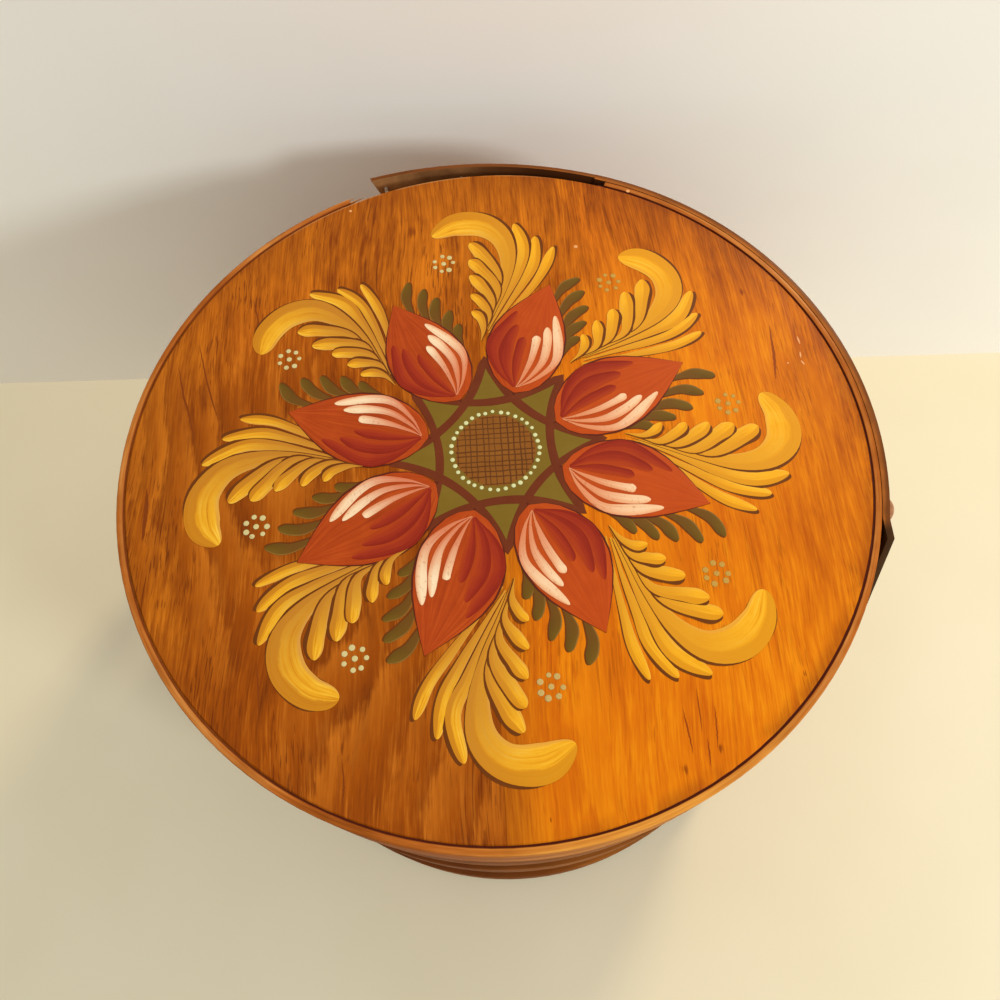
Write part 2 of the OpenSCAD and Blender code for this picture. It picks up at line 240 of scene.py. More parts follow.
def lid_streaks(s, dashes):
    """Short dark dashes and long dark threads in clusters, and a few long pale gleams."""
    dash = s.clusters(0.065, 1400, 3, 0.56, (52, 15, 7), (0.46, 0.60))
    thread = s.clusters(0.022, 1300, 5, 0.58, (60, 10, 9), (0.52, 0.64))
    gleam = s.clusters(0.025, 1000, 8, 0.60, (40, 12, 11), (0.54, 0.64))
    lines = s.times(s.calc("MAXIMUM", dash, thread), dashes)
    s.stain(lines, s.mix(0.75, s.colour, (96, 36, 0)))
    s.stain(s.times(gleam, 0.4), s.light)
    return lines


def lid_rim(s):
    """A smoky rim towards the back, and grime beside the seam, most on the right."""
    smoke = s.times(s.steps(s.edge, *SMOKY_RIM), s.steps(s.blotch, 0.36, 0.66))
    s.stain(s.times(smoke, s.steps(s.y, *SMOKY_BACK, 0.0, 0.5)), (122, 54, 2))
    grime = s.times(s.steps(s.edge, *GRIMY_RIM), s.steps(s.patch, 0.38, 0.60))
    s.stain(s.times(grime, s.steps(s.x, *GRIMY_RIGHT, 0.2, 0.5)), (122, 50, 4))


def lid_knots(s, places):
    """Dark knots, each with its place and its size."""
    flat = s.join(s.x, s.times(s.y, KNOT_SQUEEZE), 0.0)
    for across, along, size in places:
        ends = {0: flat, 1: (across, along * KNOT_SQUEEZE, 0)}
        away = s.node("ShaderNodeVectorMath", ends, operation="DISTANCE").outputs["Value"]
        ring = s.calc("MULTIPLY_ADD", s.calc("SUBTRACT", s.fibre, 0.5), 0.004, away)
        s.stain(s.steps(ring, size * 0.3, size * 1.3, 0.7, 0.0), (116, 44, 0))


def lid_wood(name, colours, seed, dashes, flames, knots, joint=None):
    """One board of the lid: its marks, bare wood at its back left edge, and a bare underside."""
    s = LidWood(name, colours, seed)
    # Painted shade beside the boards' joint
    if joint:
        lid_shade_edge(s, *joint)
    lid_zones(s)
    lid_flames(s, *flames)
    lines = lid_streaks(s, dashes)
    lid_rim(s)
    lid_knots(s, knots)
    bare = s.times(s.steps(s.edge, *BARE_RIM), s.steps(s.y, *BARE_BACK), s.steps(s.x, *BARE_LEFT, 0.8, 0.0))
    s.stain(s.times(bare, s.steps(s.patch, 0.35, 0.55)), (206, 146, 88))
    under = s.steps(s.z, *UNDERSIDE, 1.0, 0.0)
    s.tint(under, (0.5, (150, 104, 62)), (0.88, (206, 164, 112)))
    rough = s.blend((s.steps(s.streak, 0.2, 0.8, 0.42, 0.54), 1.0), (under, 0.25))
    return s.finish(rough, s.blend((s.fibre, 0.6), (s.streak, 0.4), (lines, -0.5)), 0.12)


# Bent wood of the band, the hoops and the bail. Its zones are given as the lid's are.
# Painted light on the front right of the band and the hoops lies between these places
LIT_LEFT, LIT_RIGHT, LIT_FRONT = (-0.03, 0.035), (0.06, 0.12), (-0.125, -0.095)
INSIDE_CHANGE = (-0.045, 0.03)
LAP_INNER_EDGE, SHADED_END = (0.1536, 0.1552), (-0.046, -0.040)


def bent_wood(name, colours, seed, gloss, turn=None):
    """A bent strip in a dark, a middle and a light colour. Its grain follows the bend, so its streaks are
    thin across the strip's width only. A strip not bent about the bucket's axis has a turn of its own."""
    s = Shader(name, Coat_Weight=gloss, Coat_Roughness=0.2, Specular_IOR_Level=0.08)
    s.dark, s.middle, light = colours
    if turn:
        s.point = s.node("ShaderNodeMapping", {"Vector": s.point, "Rotation": turn}).outputs[0]
    s.x, s.y, z = s.split(s.point)
    across = z if turn else s.calc("MULTIPLY_ADD", s.radius(), 0.9, z)
    grain = s.join(s.times(s.x, 0.035), s.times(s.y, 0.035), s.calc("ADD", across, seed))
    fine = s.noise(grain, 1100, 4.0, 0.6)
    streak = s.noise(grain, 260, 3.0, 0.6)
    s.dirt = s.patches((34, 34, 34), (seed, 1, 2), 4.0, 0.62)
    s.tone = s.blend((fine, 0.36), (streak, 0.42), (s.patches((16, 16, 40), (seed, 0, 0)), 0.32))
    s.colour = s.ramp(s.tone, (0.40, s.dark), (0.54, s.middle), (0.70, light))
    s.stain(s.steps(s.dirt, 0.54, 0.76, 0.0, 0.55), s.dark)
    s.normal_x, s.normal_y, s.normal_z = s.split(s.node("ShaderNodeNewGeometry").outputs["Normal"])
    rough = s.steps(s.dirt, 0.3, 0.8, 0.62 - gloss, 0.76 - gloss)
    s.surface = (rough, s.blend((fine, 0.7), (streak, 0.5)), 0.22)
    return s


def bent_rim(s, edge, pale):
    """Colours of a strip's top edge, worn in places."""
    worn = s.steps(s.patches((60, 60, 60)), 0.26, 0.62, 0.35, 0.9)
    s.top = s.times(s.steps(s.normal_z, 0.3, 0.8), worn)
    s.tint(s.top, (0.44, s.middle), (0.54, edge), (0.66, pale))


def bent_lit_front(s, low, high):
    """Painted light: a lighter stretch at the front right, most on the top edge."""
    reach = s.times(s.steps(s.x, *LIT_LEFT), s.steps(s.x, *LIT_RIGHT, 1.0, 0.3),
                    s.steps(s.y, *LIT_FRONT, 0.8, 0.0), s.steps(s.normal_z, 0.0, 0.6, 0.40, 1.0))
    s.tint(reach, (0.44, low), (0.64, high))


def bent_inside(s, left, right):
    """Colours of a strip's face towards the axis: dark towards the right, painted shade in the gap by the
    boards, and lighter towards the left, partly bare wood and partly painted light.
    """
    s.outward = s.blend((s.normal_x, s.x), (s.normal_y, s.y))
    face = s.mix(s.steps(s.x, *INSIDE_CHANGE), left, right)
    face = s.mix(s.steps(s.dirt, 0.40, 0.68, 0.0, 0.6), face, s.dark)
    s.stain(s.steps(s.outward, -0.09, -0.03, 0.95, 0.0), face)


def band_wood():
    """Main stretch of the lid's band."""
    s = bent_wood("band_wood", ((96, 42, 4), (144, 72, 12), (182, 104, 30)), 0.2, 0.04)
    bent_rim(s, (186, 102, 32), (210, 138, 66))
    # Painted light on the band's front right
    bent_lit_front(s, (196, 112, 34), (242, 168, 66))
    bent_inside(s, (132, 62, 18), (92, 30, 8))
    return s.finish(*s.surface)


def lap_wood():
    """Outer stretch of the band: a lighter inner edge where it lies close, and painted shade on the loose,
    torn end, on all but its outer face.
    """
    s = bent_wood("lap_wood", ((66, 32, 8), (108, 58, 18), (148, 90, 36)), 1.7, 0.04)
    bent_rim(s, (122, 66, 24), (122, 66, 24))
    s.stain(s.times(s.top, s.steps(s.radius(), *LAP_INNER_EDGE, 0.75, 0.0)), (196, 112, 40))
    bent_inside(s, (176, 124, 74), (70, 36, 14))
    # Painted shade on the loose end
    end_shade = s.times(s.steps(s.y, *SHADED_END, 0.9, 0.0), s.steps(s.outward, 0.10, 0.13, 1.0, 0.0))
    s.stain(end_shade, (58, 36, 12))
    return s.finish(*s.surface)


def hoop_wood(place, seed):
    """One hoop of the bucket, its top edge darker: painted shade under the lid."""
    s = bent_wood(f"hoop_wood_{place}", ((74, 34, 8), (122, 64, 20), (158, 94, 36)), seed, 0.02)
    bent_rim(s, (98, 50, 16), (98, 50, 16))
    # Painted light on the hoop's front right
    bent_lit_front(s, (120, 64, 16), (172, 104, 38))
    return s.finish(*s.surface)


def bail_wood():
    """The bail, which lies lowered at a slant."""
    slant = (math.radians(57), 0, 0)
    s = bent_wood("bail_wood", ((96, 54, 24), (158, 98, 48), (198, 138, 80)), 7.3, 0.3, slant)
    return s.finish(*s.surface)


# The other materials


def stave_wood(name, seed, tint):
    """Stave: grain upright, stained and varnished outside, bare and greyer inside and at the ends."""
    s = Shader(name, Coat_Weight=0.02, Coat_Roughness=0.25, Specular_IOR_Level=0.12)
    x, y, z = s.split(s.point)
    shift = s.times(s.patches((12, 12, 4), (seed, 0, 0), 2.0), 0.010)
    grain = s.join(s.calc("ADD", x, shift), s.calc("ADD", y, shift), s.calc("MULTIPLY_ADD", z, 0.05, seed))
    fine = s.noise(grain, 800, 4.0, 0.62)
    streak = s.noise(grain, 190, 3.0, 0.6)
    s.tone = s.blend((fine, 0.36), (streak, 0.40), (s.patches((20, 20, 7), (seed, seed, 0)), 0.32))
    stained = ((0.36, (86, 42, 10)), (0.54, (148, 82, 28)), (0.74, (184, 114, 46)))
    s.colour = s.ramp(s.tone, *((stop, [part * tint for part in colour]) for stop, colour in stained))
    rough = s.patches((40, 40, 40), (seed, 0, 0))
    s.stain(s.times(s.steps(z, 0.0, 0.016, 0.8, 0.0), s.steps(rough, 0.35, 0.65)), (70, 38, 18))
    outer = s.calc("SUBTRACT", s.radius(), s.calc("MULTIPLY_ADD", z, STAVE_TAPER, FOOT_R))
    outside = s.steps(outer, -0.0012, 0.0004)
    bare = s.ramp(s.tone, (0.34, (150, 108, 68)), (0.54, (192, 150, 102)), (0.76, (216, 178, 130)))
    s.colour = s.mix(outside, bare, s.colour)
    grime = s.patches((25, 25, 12), (0, seed, 0), 4.0, 0.6)
    s.stain(s.steps(grime, 0.55, 0.78, 0.0, 0.45), (74, 40, 18))
    return s.finish(s.steps(outside, 0.0, 1.0, 0.70, 0.52), s.blend((fine, 0.7), (streak, 0.6)), 0.25, 0.0006)


def bare_boards(name):
    """Bottom boards, bare and a little stained by use, with their grain along X."""
    s = Shader(name)
    x, y, z = s.split(s.point)
    grain = s.join(s.times(x, 0.05), y, z)
    fine = s.noise(grain, 800, 4.0, 0.62)
    tone = s.blend((fine, 0.45), (s.noise(grain, 180, 3.0), 0.5))
    s.colour = s.ramp(tone, (0.34, (132, 92, 54)), (0.5, (182, 138, 90)), (0.68, (210, 168, 118)))
    use = s.patches((14, 14, 14), detail=4.0, rough=0.6)
    s.stain(s.steps(use, 0.5, 0.75, 0.0, 0.55), (104, 68, 38))
    return s.finish(s.steps(use, 0.3, 0.8, 0.62, 0.8), fine, 0.3, 0.0006)


def turned_wood(name, dark, light):
    """Turned piece of the pegs: rings of end grain about the bail's pivot, which lies along X."""
    s = Shader(name, Coat_Weight=0.12, Coat_Roughness=0.25)
    x, y, z = s.split(s.point)
    ring = s.length(y, s.calc("SUBTRACT", z, PIVOT_Z))
    wobble = s.patches((220, 220, 220))
    band = s.calc("SINE", s.calc("MULTIPLY_ADD", ring, 4200.0, s.times(wobble, 5.0)))
    grain = s.noise(s.join(s.times(x, 0.08), y, z), 900.0, 4.0, 0.6)
    tone = s.blend((s.calc("MULTIPLY_ADD", band, 0.5, 0.5), 0.22), (grain, 0.5), (wobble, 0.28))
    s.colour = s.ramp(tone, (0.3, dark), (0.68, light))
    return s.finish(s.steps(wobble, 0.3, 0.8, 0.36, 0.58), s.blend((grain, 0.8), (band, 0.1)), 0.25)


def metal(name, base, tarnish, roughness, metallic):
    """Worn metal with clouds of tarnish."""
    s = Shader(name, Metallic=metallic)
    cloud = s.patches((380, 380, 380), detail=4.0, rough=0.65)
    s.colour = s.mix(s.steps(cloud, 0.40, 0.68), base, tarnish)
    return s.finish(s.steps(cloud, 0.3, 0.75, roughness, roughness + 0.28), cloud, 0.2, 0.0004)


# Paint takes another colour on the lid's right half, and some of it in front, between these places in metres:
# painted warm light on the ornament and the grain marks, partly worn paint too on the dot flowers, and a
# darker seam
TINT_RIGHT, TINT_FRONT = (-0.04, 0.05), (-0.135, -0.095)


def paint(name, *colours, middle=0.0, left=0.0, hair=0.35, tail=None, rim=None, margin=None, wear=0.0,
          dry=None, right_tint=None, share=1.0, front=False):
    """Brushed paint in colours from a low tone to a high one. The tone goes by how far a place lies from the
    stroke's middle, by how far it lies to the stroke's left, and by the brush's hairs. A margin lies along
    the stroke's right and a rim along its left, the tail colour shows where the paint thins out, and the dry
    colour between the hairs."""
    s = Shader(name, Coat_Weight=0.02, Coat_Roughness=0.3, Specular_IOR_Level=0.12)
    along, place, _ = s.split(s.node("ShaderNodeUVMap", uv_map="stroke").outputs[0])
    side = s.calc("MULTIPLY_ADD", s.calc("FRACT", place), 2.0, -1.0)
    hairs = s.noise(s.join(s.times(along, 0.7), s.times(place, 4.6), 0.0), 2.2, 4.0, 0.70)
    cloud = s.patches((110, 110, 110), rough=0.6)
    tone = s.blend((s.calc("ABSOLUTE", side), middle), (side, left), (hairs, hair), (cloud, 0.3))
    tone = s.calc("ADD", tone, 0.5 - 0.5 * middle - 0.5 * hair - 0.15)
    s.colour = s.ramp(tone, *zip(np.linspace(0.22, 0.78, len(colours)), colours))
    if margin:
        border = s.calc("ADD", s.blend((hairs, 0.5), (cloud, 0.5)), side)
        s.stain(s.steps(border, 0.12, 0.30, 0.85, 0.0), margin)
    if tail:
        thin = s.calc("MULTIPLY_ADD", s.calc("SUBTRACT", hairs, 0.5), 0.6, along)
        s.stain(s.steps(thin, 0.16, 0.70, 0.85, 0.0), tail)
    if dry:
        s.stain(s.steps(hairs, 0.30, 0.44, 0.7, 0.0), dry)
    if rim:
        s.stain(s.times(s.steps(side, 0.70, 0.86), s.steps(hairs, 0.35, 0.6, 0.3, 0.8)), rim)
    # Painted warm light on the right half; on the dot flowers partly worn paint, and on the seam a darker
    # colour, also in front
    if right_tint:
        x, y, _ = s.split(s.point)
        where = s.steps(x, *TINT_RIGHT, 0.0, share)
        if front:
            where = s.calc("MAXIMUM", where, s.steps(y, *TINT_FRONT, share, 0.0))
        s.stain(where, right_tint)
    if wear:
        spots = s.patches((900, 600, 900), rough=0.7)
        s.stain(s.steps(spots, 0.58, 0.72, 0.0, wear), (168, 84, 30))
    return s.finish(s.steps(cloud, 0.3, 0.75, 0.42, 0.56), s.blend((hairs, 1.0), (cloud, 0.2)), 0.10, 0.0003)


# Shading of the solids: joined edges, a small round on each, and soft normals between flat angles


def shade_by_angle(limit):
    """Node group that shades a mesh smooth, except at edges over an angle."""
    group = bpy.data.node_groups.new("shade_by_angle", "GeometryNodeTree")
    for way in ("INPUT", "OUTPUT"):
        group.interface.new_socket("Geometry", in_out=way, socket_type="NodeSocketGeometry")
    smooth = group.nodes.new("GeometryNodeSetShadeSmooth")
    sharp = group.nodes.new("GeometryNodeSetShadeSmooth")
    sharp.domain = "EDGE"
    sharp.inputs["Shade Smooth"].default_value = False
    chain = [group.nodes.new("NodeGroupInput"), smooth, sharp, group.nodes.new("NodeGroupOutput")]
    for before, after in zip(chain, chain[1:]):
        group.links.new(before.outputs[0], after.inputs[0])
    angle = group.nodes.new("GeometryNodeInputMeshEdgeAngle")
    over = group.nodes.new("FunctionNodeCompare")
    over.operation = "GREATER_THAN"
    over.inputs[1].default_value = math.radians(limit)
    group.links.new(angle.outputs["Unsigned Angle"], over.inputs[0])
    group.links.new(over.outputs[0], sharp.inputs["Selection"])
    return group


SOFT_SHADING = shade_by_angle(38)
WELD_REACH = 2e-6
ROUND_ANGLE = 40


def dress(name, material, round_edge=0.0004, segments=2):
    """Gives a CAD node its material, and a small round on its edges."""
    piece = nodes[name]
    piece.data.materials.clear()
    piece.data.materials.append(material)
    if "custom_normal" in piece.data.attributes:
        piece.data.attributes.remove(piece.data.attributes["custom_normal"])
    weld = piece.modifiers.new("join", "WELD")
    weld.merge_threshold = WELD_REACH
    if round_edge:
        bevel = piece.modifiers.new("round", "BEVEL")
        bevel.width = round_edge
        bevel.segments = segments
        bevel.limit_method = "ANGLE"
        bevel.angle_limit = math.radians(ROUND_ANGLE)
        bevel.use_clamp_overlap = True
    soft = piece.modifiers.new("soft", "NODES")
    soft.node_group = SOFT_SHADING


# Knots by their places on the lid and their sizes, in metres
LEFT_KNOTS = ((-0.0324, 0.1171, 0.0021), (-0.1390, -0.0280, 0.0009))
RIGHT_KNOTS = ((0.0583, -0.1287, 0.0012), (0.1057, -0.0986, 0.0008), (0.0714, -0.1224, 0.0009),
               (0.0111, -0.1424, 0.0005), (0.1128, 0.0713, 0.0012))
# The left board's darker colours are partly its own and partly painted shade
dress("lid_board_left", lid_wood(
    "lid_wood_left", ((116, 50, 0), (158, 75, 0), (202, 114, 26)), 0.31, 0.9,
    flames=(-0.07, 0.06, 0.3, 0.012, 0.50), knots=LEFT_KNOTS), 0)
dress("lid_board_right", lid_wood(
    "lid_wood_right", ((198, 94, 0), (222, 119, 0), (242, 148, 8)), 0.87, 0.42,
    flames=(0.02, -0.30, 0.12, 0.014, 0.25), knots=RIGHT_KNOTS,
    joint=(0.008, (146, 68, 0), (202, 116, 14))), 0)
dress("lid_band", band_wood(), 0.0005, 3)
dress("lid_band_lap", lap_wood(), 0.0004, 3)
for number in range(1, STAVE_COUNT + 1):
    stave = stave_wood(f"stave_wood_{number:02d}", number * 0.37, rng.uniform(0.88, 1.1))
    dress(f"stave_{number:02d}", stave, 0.0005)
for end in ("front", "back"):
    dress(f"bottom_board_{end}", bare_boards(f"bottom_wood_{end}"), 0.0003)
for height, grain_seed in (("bottom", 3.1), ("middle", 4.6), ("top", 5.9)):
    dress(f"hoop_{height}", hoop_wood(height, grain_seed), 0.0006)
dress("bail", bail_wood(), 0.0016, 3)
for hand in ("right", "left"):
    dress(f"peg_{hand}", turned_wood(f"peg_wood_{hand}", (104, 58, 24), (178, 116, 60)), 0.0005)
    dress(f"peg_spacer_{hand}", turned_wood(f"spacer_wood_{hand}", (88, 48, 20), (158, 100, 52)), 0.0008)
    dress(f"peg_wedge_{hand}", turned_wood(f"wedge_wood_{hand}", (168, 124, 76), (222, 186, 136)), 0)
dress("hoop_tacks", metal("dull_iron", (92, 78, 66), (70, 40, 24), 0.42, 0.85), 0.0002)
dress("lid_tacks", metal("worn_steel", (206, 184, 156), (128, 92, 64), 0.4, 0.6), 0.0001)
dress("lap_stud", metal("worn_brass", (184, 122, 80), (124, 72, 40), 0.30, 0.6), 0)


# The painted ornament: brush strokes as thin films of paint on the lid's top


def heading(degrees):
    """Unit vector at an angle."""
    a = math.radians(degrees)
    return np.array([math.cos(a), math.sin(a)])


def polar(r, degrees):
    """Place on the lid at a share of its radius and an angle."""
    return r * LID_R * heading(degrees)


def rim_point(r, degrees, z):
    """Place at a radius, an angle and a height."""
    return np.array([*(r * heading(degrees)), z])


def spread(steps):
    """Places along a stroke from 0 to 1, closer together towards its round end."""
    return 1 - (1 - np.linspace(0, 1, steps)) ** 1.7


def curve(points, places):
    """A smooth line through a few points, at some places between 0 and 1."""
    p = np.asarray(points, float)
    p = np.vstack([2 * p[0] - p[1], p, 2 * p[-1] - p[-2]])
    spans = len(p) - 3
    line = []
    for t in np.asarray(places) * spans:
        i = min(int(t), spans - 1)
        f = t - i
        a, b, c, d = p[i:i + 4]
        square = 2 * a - 5 * b + 4 * c - d
        cube = 3 * b - a - 3 * c + d
        line.append(0.5 * (2 * b + (c - a) * f + square * f * f + cube * f ** 3))
    return np.array(line)


def comma(places, widest, tail, at):
    """Half widths of a comma stroke: a thin tail, widest near its head, and a round end."""
    rise = tail + (1 - tail) * np.sin(np.clip(places / at, 0, 1) * math.pi / 2) ** 1.6
    fall = np.clip((1 - places) / (1 - at), 0, 1)
    head = np.sqrt(np.clip(1 - (1 - fall) ** 2, 0, 1))
    return np.maximum(widest * rise * head, 0.00003)


class Layer:
    """One mesh of many separate strokes that share a paint. Heights and bases are above the lid's top."""

    def __init__(self, name, material, slot="lid_boards", smooth=False):
        self.name, self.material, self.slot, self.smooth = name, material, slot, smooth
        self.points, self.faces, self.maps = [], [], []
        self.count = 0

    def sheet(self, top, uv):
        """Adds a closed film from a grid of top points, with rows along it and columns across.
        Its underside joins its edges."""
        rows, columns, _ = top.shape
        start = len(self.points)
        self.points += [tuple(p) for p in top.reshape(-1, 3)]
        self.maps += [tuple(p) for p in uv.reshape(-1, 2)]
        last = columns - 1

        def at(row, column):
            return start + row * columns + column

        for i in range(rows - 1):
            for j in range(last):
                self.faces.append((at(i, j), at(i, j + 1), at(i + 1, j + 1), at(i + 1, j)))
            self.faces.append((at(i, last), at(i, 0), at(i + 1, 0), at(i + 1, last)))
        self.faces.append(tuple(at(0, j) for j in range(last, -1, -1)))
        self.faces.append(tuple(at(rows - 1, j) for j in range(columns)))
        self.count += 1

    def stroke(self, path, half, height, base, columns=9):
        """A crowned brush stroke along a path of points, with a half width at each and wavering edges."""
        path = np.asarray(path, float)
        half = half * (1 + 0.06 * np.sin(np.linspace(0, 13, len(path)) + 2.4 * self.count))
        ahead = np.gradient(path, axis=0)
        ahead /= np.linalg.norm(ahead, axis=1)[:, None] + 1e-12
        left = np.stack([-ahead[:, 1], ahead[:, 0]], 1)
        across = np.linspace(1, -1, columns)
        body = np.clip(half / max(half.max(), 1e-9), 0, 1) ** 0.6
        top = np.zeros((len(path), columns, 3))
        top[:, :, :2] = path[:, None, :] + left[:, None, :] * (across[None, :, None] * half[:, None, None])
        top[:, :, 2] = TOP + base + height * body[:, None] * (1 - np.abs(across) ** 2.4)[None, :]
        uv = np.zeros((len(path), columns, 2))
        uv[:, :, 0] = np.linspace(0, 1, len(path))[:, None]
        uv[:, :, 1] = across[None, :] * 0.49 + 0.5 + self.count
        self.sheet(top, uv)

    def mound(self, rings, peak):
        """Adds a closed low mound: rings of points with their map places, the widest first, and a peak."""
        start = len(self.points)
        sides = len(rings[0])
        for point, place in [*(pair for ring in rings for pair in ring), peak]:
            self.points.append(point)
            self.maps.append(place)
        inner = start + (len(rings) - 1) * sides
        for low in range(start, inner, sides):
            for i in range(sides):
                j = (i + 1) % sides
                self.faces.append((low + i, low + j, low + sides + j, low + sides + i))
        for i in range(sides):
            self.faces.append((inner + i, inner + (i + 1) % sides, len(self.points) - 1))
        self.faces.append(tuple(start + i for i in range(sides - 1, -1, -1)))
        self.count += 1

    def dot(self, centre, r, height, base, sides=12):
        """A small drop of paint."""
        rings = []
        for share, up in ((1.0, 0.0), (0.82, 0.55), (0.45, 0.9)):
            ring = []
            for i in range(sides):
                x, y = share * heading(360 * i / sides)
                point = (centre[0] + r * x, centre[1] + r * y, TOP + base + height * up)
                ring.append((point, (0.5 + 0.4 * x, self.count + 0.5 + 0.4 * y)))
            rings.append(ring)
        peak = (centre[0], centre[1], TOP + base + height)
        self.mound(rings, (peak, (0.5, self.count + 0.5)))

    def disc(self, reach, height, base, steps=7):
        """A round field about the lid's middle, with a reach at each angle from the star's turn on."""
        rings = []
        for step in range(steps, 0, -1):
            lift = base + height * (0.0 if step == steps else 1.0)
            ring = []
            for i, far in enumerate(reach):
                x, y = far * step / steps * heading(360 * i / len(reach) + STAR_TURN)
                ring.append(((x, y, TOP + lift), (x * 30, y * 30)))
            rings.append(ring)
        self.mound(rings, ((0, 0, TOP + base + height), (0, 0)))

    def splinter(self, root, tip, across, up):
        """A thin pointed sliver of wood, from a flat root to its tip."""
        corners = ((-1, -1, 0.1), (1, -1, 0.4), (1, 1, 0.7), (-1, 1, 0.9))
        ring = [(tuple(root + a * across + b * up), (0, self.count + place)) for a, b, place in corners]
        self.mound([ring], (tuple(tip), (1, self.count + 0.5)))

    def make(self):
        """Makes the mesh, which rides on the lid."""
        mesh = bpy.data.meshes.new(self.name)
        mesh.from_pydata(self.points, [], self.faces)
        places = mesh.uv_layers.new(name="stroke")
        for loop in mesh.loops:
            places.data[loop.index].uv = self.maps[loop.vertex_index]
        mesh.materials.append(self.material)
        if self.smooth:
            mesh.shade_smooth()
        mesh.update()
        piece = bpy.data.objects.new(self.name, mesh)
        scene.collection.objects.link(piece)
        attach(piece, "lid")


field = Layer("star_field", paint(
    "paint_field", (112, 88, 22), (124, 98, 28), (134, 110, 38), hair=0.2, wear=0.05))
seed_disc = Layer("seed_disc", paint("paint_seed", (122, 70, 20), (140, 84, 26), (154, 98, 36)))
hatch = Layer("seed_hatching", paint("paint_hatch", (82, 42, 8), (98, 54, 14), (114, 66, 22)))
bands = Layer("star_bands", paint("paint_star", (94, 36, 12), (110, 46, 18), (126, 60, 26), wear=0.1))
pearls = Layer("pearl_dots", paint(
    "paint_pale_green", (196, 198, 140), (216, 218, 162), (232, 232, 188)), smooth=True)
outlines = Layer("petal_outlines", paint("paint_outline", (70, 22, 12), (92, 32, 16), (112, 42, 22)))
petals = Layer("petals", paint(
    "paint_brick", (146, 48, 8), (176, 66, 12), (200, 86, 24), hair=0.9, wear=0.10,
    right_tint=(204, 80, 16), share=0.45))
shades = Layer("petal_shades", paint(
    "paint_maroon", (174, 62, 16), (158, 46, 20), (138, 32, 14), left=0.30, hair=0.8))
lights = Layer("petal_lights", paint(
    "paint_blush", (255, 242, 210), (248, 212, 168), (230, 152, 108), middle=0.2, left=-0.12, hair=0.6,
    tail=(208, 98, 58), wear=0.5, dry=(206, 96, 50), right_tint=(240, 168, 112), share=0.35))
leaves = Layer("leaf_strokes", paint(
    "paint_olive", (122, 92, 26), (110, 80, 16), (90, 62, 10), left=-0.15, hair=0.4,
    tail=(112, 72, 20), rim=(156, 112, 50), wear=0.05))
shadows = Layer("plume_shadows", paint("paint_liner", (92, 42, 2), (108, 54, 6), (126, 66, 12)))
plumes = Layer("plume_strokes", paint(
    "paint_yellow", (252, 206, 80), (244, 182, 40), (230, 158, 24), (196, 120, 14), left=-0.10, hair=1.4,
    tail=(194, 128, 40), rim=(216, 154, 72), margin=(198, 124, 20), wear=0.08,
    right_tint=(248, 172, 8), share=0.4))
flowers = Layer("dot_flowers", paint(
    "paint_grey_green", (196, 184, 124), (212, 200, 140), (228, 218, 160), wear=0.6,
    right_tint=(194, 150, 66)), smooth=True)

# Levels of the films above the lid's top, in metres, and the step from one film to the next
FILM = 0.000012
MARK_LEVEL, CHIP_LEVEL, FIELD_LEVEL, STROKE_LEVEL = 0.000006, 0.00001, 0.00002, 0.00003
SEED_LEVEL, BAND_LEVEL, HATCH_LEVEL = 0.00006, 0.00007, 0.00009
OUTLINE_LEVELS, PETAL_RIM_LEVEL, PETAL_LEVEL = (0.00016, 0.00020), 0.00022, 0.00030

# The star. Lengths in the ornament are shares of the lid's radius, and those of dots are in metres.
# Angles are in degrees.
ARMS = 8
ARM_TURN = 360 / ARMS
STAR_TURN, STAR_TIP, STAR_WAIST = 3.0, 0.306, 0.152
STAR_STEPS, FIELD_SIDES = 40, 192
SEED_R = 0.110 * LID_R
SEED_SIDES, HATCH_ROWS, PEARLS = 64, 6, 36


def star_side(k):
    """One bowed band of the star, from a tip to the second tip after it."""
    first = STAR_TURN + ARM_TURN * k
    ends = [polar(STAR_TIP, first), polar(STAR_TIP, first + 90)]
    waist = polar(STAR_WAIST, first + 45)
    pull = 2 * waist - (ends[0] + ends[1]) / 2
    t = np.linspace(0, 1, STAR_STEPS)[:, None]
    return (1 - t) ** 2 * ends[0] + 2 * t * (1 - t) * pull + t * t * ends[1]


def star_reach(angle):
    """Distance from the centre to the star's outline at an angle."""
    best = 0
    for k in range(ARMS):
        side = star_side(k)
        turn = (np.degrees(np.arctan2(side[:, 1], side[:, 0])) - STAR_TURN - ARM_TURN * k + 5) % 360 - 5
        want = (angle - STAR_TURN - ARM_TURN * k + 5) % 360 - 5
        if turn[0] - 1e-6 <= want <= turn[-1] + 1e-6:
            best = max(best, float(np.interp(want, turn, np.linalg.norm(side, axis=1))))
    return best


def draw_hatching():
    """Two crossed rows of thin lines on the seed disc."""
    for row in range(-HATCH_ROWS, HATCH_ROWS + 1):
        for crossed in (0, 1):
            offset = (row + jitter(0.2)) * SEED_R / (HATCH_ROWS + 0.6)
            reach = math.sqrt(max(SEED_R ** 2 - offset ** 2, 0)) * 0.97
            ends = np.linspace(-reach, reach, 11)
            waver = np.array([offset + jitter(0.00016) for _ in ends])
            line = np.stack([ends, waver] if crossed else [waver, ends], 1)
            half = np.full(len(ends), 0.00024 + jitter(0.00006))
            hatch.stroke(line, half, 0.00003, HATCH_LEVEL + 0.00001 * crossed, 3)


